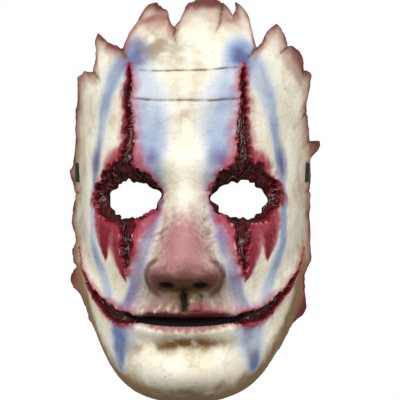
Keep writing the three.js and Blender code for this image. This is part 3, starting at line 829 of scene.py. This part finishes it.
def buildLatexFace():
    pitch = latexFace["pitch"]
    side, bottom, top = latexFace["sheet"]
    columns = np.arange(-side, side + 0.01, pitch)
    rows = np.arange(bottom, top + 0.01, pitch)
    gridAcross, gridUp = np.meshgrid(columns, rows)
    points = np.stack([gridAcross.ravel(), gridUp.ravel()], axis=1)
    count = len(columns)
    corner = (np.arange(len(rows) - 1)[:, None] * count + np.arange(count - 1)[None]).ravel()
    beyond = corner + count
    halves = [facesOf(corner, corner + 1, beyond + 1), facesOf(corner, beyond + 1, beyond)]
    triangles = np.concatenate(halves)
    fields = sheetFields(points[:, 0], points[:, 1])
    near = nearWound(fields)
    detail = (near < 2.6) & (fields["holeGap"] > -2.5)
    detail = detail | (np.abs(fields["edgeGap"]) < 2.2) | (fields["mouthGap"] < 3.5)
    detail = detail | ((np.abs(points[:, 0]) < 13) & (np.abs(points[:, 1] + 56) < 11))
    for distance, reach, depth in foldPlaces(points[:, 0], points[:, 1]):
        detail = detail | ((np.abs(distance) < 2) & (reach > 0))
    keep = fields["edgeGap"] > -5
    triangles = triangles[keep[triangles].all(axis=1)]
    points, triangles = splitNear(points, triangles, detail)
    across, up = points.T
    fields = sheetFields(across, up)
    slotWidth = strap["thickness"] + 2 * strap["clearance"]
    slotHeight = strap["width"] + 2 * strap["clearance"]
    slot = slotHole(np.abs(across), up, strapAcross, strap["height"], slotWidth, slotHeight)
    outside = -fields["edgeGap"]
    for hole in (fields["holeGap"], breathGap(across, up, "breathSlit"), slot):
        outside = np.maximum(outside, -hole)
    points, triangles = clipMesh(points, triangles, outside)
    across, up = points.T
    fields = sheetFields(across, up)
    relief = latexRelief(across, up, fields)
    # how far a point lies below its surroundings, for the dirt and painted shade in the hollows
    gridRelief = latexRelief(gridAcross, gridUp, sheetFields(gridAcross, gridUp))
    gridForm = noseRaise(gridAcross, gridUp) + lipRaise(gridAcross, gridUp)
    around = readSheet(blur(gridForm + gridRelief, 2.0, pitch), columns, rows, across, up)
    form = noseRaise(across, up) + lipRaise(across, up)
    masks = dict(fields)
    masks.update(latexPaintMasks(across, up, -faceNormal(across, up)[:, 1]))
    masks["hollow"] = around - form - relief
    pits = np.minimum(np.minimum(fields["mouthGap"], fields["nostrilGap"]), fields["grooveGap"])
    masks["pit"] = smooth(0.6, -0.4, pits)
    lift = edgeLift(across, up)
    thin = face["wall"] * (edge["thinTo"] + (1 - edge["thinTo"]) * smooth(0, 9, fields["edgeGap"]))
    inner = np.minimum(-face["wall"], relief - 1.3)
    inner = np.where(fields["edgeGap"] < 12, np.maximum(inner, relief - thin), inner)
    outerPoints = inFrame(raised(across, up, lift + relief))
    # the breathing slit leans sideways through the wall
    drop, width, height = latexFace["breathSlit"]
    besideSlit = np.hypot(across, np.maximum(np.abs(up + drop) - height / 2, 0))
    lean = across + latexFace["slitSlant"] * gauss(besideSlit, 3)
    innerPoints = inFrame(raised(lean, up, lift + inner))
    size = len(across)
    sides = np.concatenate([triangles[:, [0, 1]], triangles[:, [1, 2]], triangles[:, [2, 0]]])
    keys = sides[:, 0] * size + sides[:, 1]
    rim = sides[~np.isin(keys, sides[:, 1] * size + sides[:, 0])]
    start, end = rim.T
    wall = [facesOf(end, start, start + size), facesOf(end, start + size, end + size)]
    faces = np.concatenate([triangles, triangles[:, ::-1] + size] + wall)
    masks = {name: np.concatenate([values, values]) for name, values in masks.items()}
    # round the breathing slit the inner face keeps the outer paint, so the slit's walls take the groove's
    # near-black painted shade
    masks["inside"] = np.concatenate([np.zeros(size), smooth(1, 3, besideSlit)])
    piece = makeMesh("painted_latex_face", np.concatenate([outerPoints, innerPoints]), faces, masks, 60)
    print("latex face", len(faces), "triangles")
    return piece


# torn strings of flesh that lie in the wounds
fleshStrings = {
    "count": 150,
    "tries": 9000,
    "radius": 0.42,
    "length": (4.0, 11.0),
    "rings": 9,
    "sides": 6,
    "arch": 0.7,
    "seed": 7,
}


# starts spread over the wounds, each with the way its string runs
def stringStarts(draw, tries):
    across = draw.uniform(-98, 98, tries)
    up = draw.uniform(-78, 76, tries)
    lean = draw.normal(0, 0.35, tries)
    start = sheetFields(across, up)
    inWound = start["woundGap"] < -0.6
    inCut = start["cutGap"] < -0.8
    direction = lean - math.pi / 2
    climb = smilePlace(across + 1.0)[1] - smilePlace(across - 1.0)[1]
    direction = np.where(inCut, np.arctan2(climb, 2) + 0.7 * lean, direction)
    toHole = np.arctan2(-up, np.sign(across) * wound["eyeSpacing"] / 2 - across)
    direction = np.where(inWound & (start["holeGap"] < 9), toHole + 1.6 * lean, direction)
    return across, up, direction, inWound | inCut


def buildFleshStrings():
    tries = fleshStrings["tries"]
    rings = fleshStrings["rings"]
    sides = fleshStrings["sides"]
    draw = np.random.RandomState(fleshStrings["seed"])
    across, up, direction, good = stringStarts(draw, tries)
    length = draw.uniform(*fleshStrings["length"], tries)
    wave = draw.uniform(-0.9, 0.9, tries)
    radius = fleshStrings["radius"] * draw.uniform(0.6, 1.5, tries)
    arch = fleshStrings["arch"] * draw.uniform(0.2, 1.4, tries)
    tint = draw.uniform(0, 1, tries)
    share = np.linspace(0, 1, rings)
    hump = np.sin(math.pi * share)
    run = length[:, None] * share
    bend = wave[:, None] * hump
    lineAcross = across[:, None] + run * np.cos(direction)[:, None] - bend * np.sin(direction)[:, None]
    lineUp = up[:, None] + run * np.sin(direction)[:, None] + bend * np.cos(direction)[:, None]
    lineAcross, lineUp = lineAcross[good], lineUp[good]
    fields = sheetFields(lineAcross, lineUp)
    near = nearWound(fields)
    clear = (fields["holeGap"].min(axis=1) > 0.7) & (near.max(axis=1) < 1.4)
    clear = np.flatnonzero(clear & (fields["mouthGap"].min(axis=1) > 0.5))[: fleshStrings["count"]]
    chosen = np.flatnonzero(good)[clear]
    lineAcross, lineUp = lineAcross[clear], lineUp[clear]
    fields = {name: values[clear] for name, values in fields.items()}
    thick = radius[chosen, None] * np.sin(math.pi * (0.05 + 0.9 * share)) ** 0.6
    lift = latexRelief(lineAcross, lineUp, fields) + edgeLift(lineAcross, lineUp)
    lift = lift + 0.35 * radius[chosen, None] + arch[chosen, None] * hump
    normal = faceNormal(lineAcross, lineUp)
    line = raised(lineAcross, lineUp, lift)
    side = unit(np.cross(np.gradient(line, axis=1), normal))
    turn = np.linspace(0, 2 * math.pi, sides, endpoint=False)[None, None, :, None]
    ring = np.cos(turn) * side[:, :, None] + np.sin(turn) * normal[:, :, None]
    tube = line[:, :, None] + ring * thick[:, :, None, None]
    made = len(chosen)
    each = rings * sides + 2
    positions = inFrame(np.concatenate([tube.reshape(made, -1, 3), line[:, [0, -1]]], axis=1))
    first = np.arange(sides)
    second = (first + 1) % sides
    last = (rings - 1) * sides
    tip = first * 0 + each - 1
    ends = [facesOf(tip - 1, first, second), facesOf(tip, second + last, first + last)]
    oneString = np.concatenate([tubeFaces(rings, sides)] + ends)
    faces = (oneString[None] + each * np.arange(made)[:, None, None]).reshape(-1, 3)
    masks = {"tint": np.repeat(tint[chosen], each)}
    piece = makeMesh("torn_flesh_strings", positions.reshape(-1, 3), faces, masks, 70)
    print("flesh strings", made, "of", len(faces), "triangles")
    return piece


# the elastic head strap
strap = {
    "width": 12.0,
    "thickness": 1.4,
    "clearance": 0.5,
    "height": 17.0,
    "climb": 24.0,
    "slotFromEdge": 12.0,
    "stopWidth": 3.2,
    "stopHeight": 1.2,
    "headBack": 98.0,
    "squareness": 2.15,
    # section of a folded stop: share of its height, share of its width
    "stop": [(1.0, 0.45), (0.92, 0.7), (0.75, 0.93), (0.5, 1.0), (0.25, 0.93), (0.08, 0.7)],
    "step": 1.1,  # mm between rings
    "ribs": 9,
    "ribDepth": 0.09,
}
strapAcross = edge["halfWidth"] - strap["slotFromEdge"]


# the strap's middle line from one outer stop round to the other, as (point, thickness)
def strapLine():
    inside = latexPoint(strapAcross, strap["height"], 0)
    outside = latexPoint(strapAcross, strap["height"], face["wall"])
    outward = outside - inside
    outward[2] = 0
    outward = unit(outward)
    rearward = np.array([-outward[1], outward[0], 0])
    bend = strap["thickness"] / 2 + strap["clearance"]
    stopStart = 0
    for across in (-0.5, 0, 0.5):
        for up in (-0.5, 0, 0.5):
            corner = latexPoint(
                strapAcross + across * (strap["stopWidth"] + 2),
                strap["height"] + up * strap["width"],
                face["wall"],
            )
            stopStart = max(stopStart, (corner - inside) @ outward + 0.6 * strap["clearance"])
    stop = strap["stopHeight"]
    thick = strap["thickness"]
    wide = strap["stopWidth"]
    profile = strap["stop"] + [(0, thick / wide)]
    line = [(inside + outward * (stopStart + stop * out), wide * share) for out, share in profile]
    line.append((inside + outward * (stopStart - 0.3), thick))
    centre = inside + rearward * bend
    turnEnd = math.atan2(rearward[1], -outward[1])
    for turn in np.linspace(0, turnEnd, 8):
        point = centre - outward * bend * math.sin(turn) - rearward * bend * math.cos(turn)
        line.append((point, thick))
    runStart = line[-1][0]
    for share in np.linspace(0, 1, 6)[1:-1]:
        line.append((runStart * np.array([1, 1 - share, 1]), thick))
    for angle in np.linspace(0, math.pi / 2, 90):
        across, back = math.cos(angle), math.sin(angle)
        radius = ovalReach(across, back, runStart[0], strap["headBack"], strap["squareness"])
        climb = strap["climb"] * float(smooth(0, math.pi / 2, angle))
        point = np.array([radius * across, radius * back, runStart[2] + climb])
        line.append((point, thick))
    mirrored = [(point * np.array([-1, 1, 1]), thickness) for point, thickness in reversed(line[:-1])]
    return line + mirrored


def buildHeadStrap():
    line = strapLine()
    points = np.array([point for point, thickness in line])
    thick = np.array([thickness for point, thickness in line])
    along = np.concatenate([[0], np.cumsum(np.linalg.norm(np.diff(points, axis=0), axis=1))])
    # the short bends keep their own rings, the long runs are divided evenly
    rings = [along[0]]
    for mark in along[1:]:
        pieces = max(1, int(round((mark - rings[-1]) / strap["step"])))
        if mark - rings[-1] > 0.05:
            rings.extend(np.linspace(rings[-1], mark, pieces + 1)[1:])
    rings = np.array(rings)
    middle = np.stack([np.interp(rings, along, points[:, axis]) for axis in range(3)], axis=1)
    thickness = np.interp(rings, along, thick)
    tangent = unit(np.gradient(middle, axis=0))
    upright = unit(np.array([0, 0, 1.0]) - tangent * tangent[:, 2:3])
    through = np.cross(tangent, upright)
    # section: a flat band with rounded edges and fine ribs along its length
    share = np.linspace(-1, 1, 4 * strap["ribs"] + 1)
    bulge = (1 - np.abs(share) ** 9) ** 0.5
    ribs = strap["ribDepth"] * np.abs(np.sin(share * math.pi * strap["ribs"] / 2))
    heights = np.concatenate([share, share[::-1][1:-1]])
    half = np.concatenate([bulge, -bulge[::-1][1:-1]])
    rib = np.concatenate([ribs, ribs[::-1][1:-1]])
    count = len(heights)
    offset = half * (thickness[:, None] / 2 - strap["ribDepth"] + rib)
    positions = middle[:, None] + offset[..., None] * through[:, None]
    positions = positions + (heights * strap["width"] / 2)[:, None] * upright[:, None]
    positions = inFrame(positions.reshape(-1, 3))
    # both ends are closed between the two flat sides
    cap = [(0, 1, count - 1)]
    for index in range(1, count // 2):
        cap.append((index, index + 1, count - index))
        if index + 1 < count // 2:
            cap.append((index + 1, count - index - 1, count - index))
    cap = np.array(cap)
    farCap = cap[:, ::-1] + (len(rings) - 1) * count
    faces = np.concatenate([tubeFaces(len(rings), count), cap, farCap])
    masks = {"along": np.repeat(rings, count), "acrossBand": np.tile(heights, len(rings))}
    piece = makeMesh("elastic_head_strap", positions, faces, masks, 50)
    print("head strap", len(faces), "triangles")
    return piece


# tones of paint, as a screen shows them
paint = {
    "pale": (0.835, 0.82, 0.755), "cream": (0.80, 0.77, 0.685), "grime": (0.62, 0.56, 0.46),
    "ochre": (0.66, 0.53, 0.35), "brown": (0.30, 0.21, 0.14), "oliveSoft": (0.40, 0.28, 0.12),
    "dirt": (0.27, 0.11, 0.085), "olive": (0.43, 0.315, 0.125), "blue": (0.40, 0.48, 0.62),
    "blueDeep": (0.27, 0.36, 0.54), "violet": (0.35, 0.34, 0.52), "blueDark": (0.27, 0.27, 0.45),
    "blueSoft": (0.66, 0.72, 0.79), "pink": (0.56, 0.30, 0.33), "noseRed": (0.30, 0.09, 0.10),
    "redMist": (0.56, 0.17, 0.26), "crimson": (0.46, 0.045, 0.12), "bleed": (0.40, 0.02, 0.085),
    "crimsonDark": (0.27, 0.03, 0.06), "flesh": (0.19, 0.04, 0.04), "fleshPale": (0.36, 0.11, 0.10),
    "black": (0.05, 0.008, 0.006), "mauve": (0.27, 0.055, 0.075), "rose": (0.55, 0.29, 0.31),
    "tornLatexAndHighlight": (0.74, 0.52, 0.50), "oldFlesh": (0.15, 0.09, 0.08), "rawEdge": (0.54, 0.32, 0.28),
    "rawTip": (0.33, 0.13, 0.115), "slot": (0.10, 0.08, 0.055), "bareLatex": (0.80, 0.72, 0.56),
}


# stripe: tone, strength
stripeTones = {
    "innerStripe": ("blue", 0.72),
    "outerStripe": ("blue", 0.75),
    "lowStripe": ("violet", 0.85),
    "chinStripe": ("blueDeep", 0.9),
}


# fine cracks in the paint
def crackLines(tree, size, width):
    place = objectPlace(tree)
    shift = addNode(tree, "TexNoise", {"Vector": place, "Scale": 1000 / size})
    bent = addNode(tree, "VectorMath")
    bent.operation = "MULTIPLY_ADD"
    for index, source in enumerate((Wire(tree, shift.outputs["Color"]), [size / 1400] * 3, place)):
        plug(bent.inputs[index], source)
    bent = Wire(tree, bent.outputs[0])
    cells = addNode(tree, "TexVoronoi", {"Vector": bent, "Scale": 1000 / size})
    cells.feature = "DISTANCE_TO_EDGE"
    return Wire(tree, cells.outputs["Distance"]).fade(width, 0)


def paintedLatexFinish():
    finish, tree, shader = startFinish("painted_latex")
    large = mottle(tree, 26)
    medium = mottle(tree, 9, 3)
    small = mottle(tree, 3, 3)
    speck = mottle(tree, 1.3, 1)
    drag = mottle(tree, 5, 3, [1, 1, 0.25])  # paint dragged downwards
    cracks = crackLines(tree, 11, 0.035)
    colour = mixPaint(large.fade(0.4, 0.62), paint["pale"], paint["cream"])

    def mask(name):
        return readMask(tree, name)

    def coat(tone, amount):
        nonlocal colour
        colour = mixPaint(amount, colour, paint[tone])

    # sponged dirt, specks and fine cracks on the cream ground
    coat("grime", medium.fade(0.5, 0.75) * 0.42)
    coat("ochre", small.fade(0.56, 0.8) * 0.22)
    coat("brown", speck.fade(0.68, 0.78) * 0.5)
    coat("brown", cracks * (large.fade(0.5, 0.66) * 0.16))

    # jaw and sides: painted shade, olive where the surface turns from the front and under the chin
    shade = mask("jawShade") * ((medium + large) * 0.9 - 0.05)
    coat("olive", shade.fade(0.0, 1.15) * 0.9)

    # airbrushed blue stripes
    for name, (tone, strength) in stripeTones.items():
        gap = mask(name) + medium.wobble(0.7)
        coat("blueSoft", gap.fade(1.9, 0.8) * 0.5)
        body = gap.fade(1.35, 0.3) * (large.fade(0.35, 0.6) * 0.55 + 0.45)
        coat(tone, body * strength)

    top = mask("stripeTop") * (medium + 0.5)
    coat("blue", top.fade(0.1, 0.9) * 0.85)
    dark = (mask("stripeDark") * (drag + 0.4)).fade(0.2, 1.0) * 0.85
    coat("blueDark", dark.atLeast(top.fade(0.55, 1.1) * 0.8))

    # nose, darker at its tip and wings
    for name, tone, noise, low, high in (
        ("nosePaint", "pink", small * 0.8 + 0.6, 0.15, 0.95),
        ("noseTip", "noseRed", medium + 0.4, 0.2, 1.0),
        ("wingShade", "noseRed", small + 0.5, 0.1, 1.0),
    ):
        coat(tone, (mask(name) * noise).fade(low, high) * 0.85)

    # stains, and painted shade in the crease under the lower lip
    coat("oliveSoft", mask("ochreStainAndShade") * medium.fade(0.28, 0.6) * 0.85)
    coat("dirt", mask("muzzleDirt") * drag.fade(0.1, 0.55) * 0.9)
    coat("olive", mask("slotStain") * small.fade(0.25, 0.6) * 0.85)

    # brown in the hollows, partly rubbed-in dirt and partly painted shade, and dark brown lines along the
    # folds
    coat("brown", (mask("hollow") + small.wobble(0.6)).fade(0.25, 1.0) * 0.72)
    fold = mask("foldLine") * (medium.fade(0.3, 0.6) * 0.5 + 0.45)
    coat("brown", fold.fade(0.15, 1.0) * 0.85)
    coat("slot", mask("dripLine") * small.fade(0.2, 0.45))

    # lips
    coat("redMist", mask("lipBleed") * drag.fade(0.35, 0.6) * 0.8)
    coat("mauve", (mask("upperLip") * (drag * 1.3 + 0.1)).fade(0.15, 0.5))
    coat("rose", (mask("lowerLip") * (small * 1.2 + 0.1)).fade(0.2, 0.65) * 0.85)

    # torn edge
    edgeGap = mask("edgeGap") + medium.wobble(12)
    mist = edgeGap.fade(15, 3) * 0.75
    flap = mask("pastPlain") + large.wobble(16)
    patchy = large.fade(0.38, 0.6) * 0.6 + 0.4
    mist = mist.atLeast(flap.fade(-12, 3) * (patchy * 0.9))
    coat("rawEdge", mist)
    coat("rawTip", flap.fade(-2, 10) * (patchy * 0.85))
    coat("brown", mask("splitLine") * small.fade(0.3, 0.5))
    coat("rawTip", edgeGap.fade(5.5, -0.5) * 0.9)

    # red mist under the eyes, crimson round the wounds, flesh inside them
    mistGap = mask("redBleed") * ((drag + small) * 0.8 + 0.2)
    coat("redMist", mistGap.fade(0.06, 0.45) * 0.85)
    coat("bleed", mistGap.fade(0.3, 0.85) * 0.95)
    wet = None
    for name, reach in (("woundGap", 6.5), ("cutGap", 5.5)):
        gap = mask(name)
        haze = (gap + medium.wobble(7)).fade(reach, 0.5) * 0.65
        coat("redMist", haze * (1.0 - mask("bridge")))
        coat("crimson", (gap + small.wobble(2.6)).fade(2.2, 0.2) * 0.92)
        near = gap + small.wobble(1.4)
        coat("crimsonDark", near.fade(0.5, -0.7))
        strand = mottle(tree, 2.4, 2, [1, 1, 0.35]).fade(0.45, 0.72)
        flesh = mixPaint(strand, paint["flesh"], paint["fleshPale"])
        if name == "cutGap":
            flesh = mixPaint(mask("cutDark") * 0.85, flesh, paint["oldFlesh"])
        # pale on the crests of the torn rims: partly bare torn latex, partly painted highlight
        torn = gap.fade(0.1, 0.5) * gap.fade(1.8, 1.0) * strand.fade(0.55, 0.8)
        coat("tornLatexAndHighlight", torn * 0.7)
        colour = mixPaint(near.fade(-0.3, -1.6), colour, flesh)
        wetHere = near.fade(0.8, -0.8)
        wet = wetHere if wet is None else wet.atLeast(wetHere)

    # black in the mouth groove, and painted shade in the nostril pits
    mouth = (mask("mouthGap") + small.wobble(0.8)).fade(0.5, -0.9)
    mouth = mouth.atLeast(mask("nostrilGap").fade(1.4, -0.2))
    coat("black", mouth)
    # the breathing groove: a brown stain round it, and its core near black as painted shade
    groove = mask("grooveGap") + small.wobble(3.4)
    coat("brown", groove.fade(1.8, 0.4) * 0.8)
    coat("slot", groove.fade(0.5, -0.3))
    # painted shade: black round the rims of the eye holes
    coat("black", mask("holeGap").fade(2.4, 0.2) * 0.75)
    bare = mixPaint(medium.fade(0.4, 0.65), paint["bareLatex"], paint["cream"])
    colour = mixPaint(mask("inside").fade(0.6, 0.95), colour, bare)
    plug(shader.inputs["Base Color"], colour)

    rough = mix(wet, medium * 0.3 + 0.32, 0.2)
    plug(shader.inputs["Roughness"], mix(mask("pit"), rough, 0.95))
    height = small * 0.6 - cracks * 0.35
    height = (height + speck * 0.3) * mix(wet, 1.0, 0.35)
    plug(shader.inputs["Normal"], bump(height, 0.35))
    shader.inputs["Specular IOR Level"].default_value = 0.22
    return finish


def wetFleshFinish():
    finish, tree, shader = startFinish("wet_flesh")
    small = mottle(tree, 2, 2)
    tint = readMask(tree, "tint") + small.wobble(0.8)
    colour = mixPaint(tint.fade(0.25, 0.75), (0.09, 0.025, 0.025), (0.3, 0.05, 0.06))
    colour = mixPaint(tint.fade(0.85, 1.1), colour, (0.44, 0.2, 0.18))
    plug(shader.inputs["Base Color"], colour)
    plug(shader.inputs["Roughness"], small * 0.3 + 0.22)
    plug(shader.inputs["Normal"], bump(small, 0.12))
    shader.inputs["Specular IOR Level"].default_value = 0.45
    return finish


def wovenElasticFinish():
    finish, tree, shader = startFinish("woven_elastic")
    wave = (readMask(tree, "along") * (2 * math.pi / 0.9)).sine()
    cross = (readMask(tree, "acrossBand") * (math.pi * strap["ribs"])).sine()
    weave = wave * cross
    shade = (weave + mottle(tree, 1.4, 3) * 1.2).fade(-0.6, 1.6)
    plug(shader.inputs["Base Color"], mixPaint(shade, (0.05, 0.048, 0.05), (0.17, 0.165, 0.17)))
    shader.inputs["Roughness"].default_value = 0.85
    shader.inputs["Sheen Weight"].default_value = 0.25
    shader.inputs["Sheen Roughness"].default_value = 0.5
    plug(shader.inputs["Normal"], bump(weave, 0.08))
    return finish


faceSkin = buildLatexFace()
faceSkin.data.materials.append(paintedLatexFinish())
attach(faceSkin, "root")
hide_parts("latex_face")

strings = buildFleshStrings()
strings.data.materials.append(wetFleshFinish())
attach(strings, "root")

headBand = buildHeadStrap()
headBand.data.materials.append(wovenElasticFinish())
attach(headBand, "root")
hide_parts("head_strap")

# the studio
studio = {
    "wallAway": 2.0,
    "wallSize": 1.2,
    "wallGlow": 1.0,
    "floorDrop": 0.6,
    "floorSize": 1.2,
    "floorTone": (0.72, 0.71, 0.69),
    "cameraAway": 1.15,
    "cameraTurn": 3.0,
    "lookAt": (0.0068, 0.035, -0.0505),
    "lens": 173.0,
    # place, size, power
    "lights": [
        ((-0.12, -1.25, 0.62), 0.45, 12.0),
        ((0.9, -0.6, 0.25), 0.6, 10.5),
        ((-0.9, -0.6, 0.25), 0.6, 10.0),
    ],
    "skyLow": 0.08,
    "skyHigh": 0.5,
}


def aimAt(thing, place, target):
    thing.location = place
    direction = Vector(target) - Vector(place)
    thing.rotation_euler = direction.to_track_quat("-Z", "Y").to_euler()


# a plain square of scenery, upright or lying down
def addPanel(name, size, middle, upright):
    x, y, z = middle
    positions = []
    for a, b in ((-0.5, -0.5), (0.5, -0.5), (0.5, 0.5), (-0.5, 0.5)):
        rise = b * size
        positions.append((x + a * size, y, z + rise) if upright else (x + a * size, y + rise, z))
    panel = makeMesh(name, positions, [(0, 1, 2, 3)])
    finish, tree, shader = startFinish(name)
    panel.data.materials.append(finish)
    return shader


def buildStudio():
    x, y, z = studio["lookAt"]
    shader = addPanel("studio_floor", studio["floorSize"], (x, y, -studio["floorDrop"]), False)
    plug(shader.inputs["Base Color"], studio["floorTone"])
    shader.inputs["Roughness"].default_value = 0.9
    shader = addPanel("studio_wall", studio["wallSize"], (x, y + studio["wallAway"], z), True)
    plug(shader.inputs["Base Color"], (0, 0, 0))
    plug(shader.inputs["Emission Color"], (1, 1, 1))
    shader.inputs["Specular IOR Level"].default_value = 0
    shader.inputs["Emission Strength"].default_value = studio["wallGlow"]
    for index, (place, size, power) in enumerate(studio["lights"]):
        lamp = bpy.data.lights.new(f"softbox_{index}", "AREA")
        lamp.size = size
        lamp.energy = power
        aimAt(addObject(f"softbox_{index}", lamp), place, studio["lookAt"])
    # the air is brighter above than below
    world = bpy.data.worlds.new("studio_air")
    world.use_nodes = True
    tree = world.node_tree
    place = Wire(tree, addNode(tree, "TexCoord").outputs["Generated"])
    height = Wire(tree, addNode(tree, "SeparateXYZ", {"Vector": place}).outputs["Z"])
    span = {"From Min": -0.4, "To Min": studio["skyLow"], "To Max": studio["skyHigh"]}
    glow = addNode(tree, "MapRange", {"Value": height} | span)
    air = tree.nodes["Background"]
    plug(air.inputs["Color"], (1, 1, 1))
    plug(air.inputs["Strength"], Wire(tree, glow.outputs["Result"]))
    bpy.context.scene.world = world


def buildCamera():
    data = bpy.data.cameras.new("front_camera")
    data.lens = studio["lens"]
    data.sensor_width = 36
    data.clip_start = 0.05
    camera = addObject("front_camera", data)
    turn = math.radians(studio["cameraTurn"])
    x, y, z = studio["lookAt"]
    away = studio["cameraAway"]
    aimAt(camera, (x + away * math.sin(turn), y - away * math.cos(turn), z), studio["lookAt"])
    bpy.context.scene.camera = camera


buildStudio()
buildCamera()
print("studio ready")
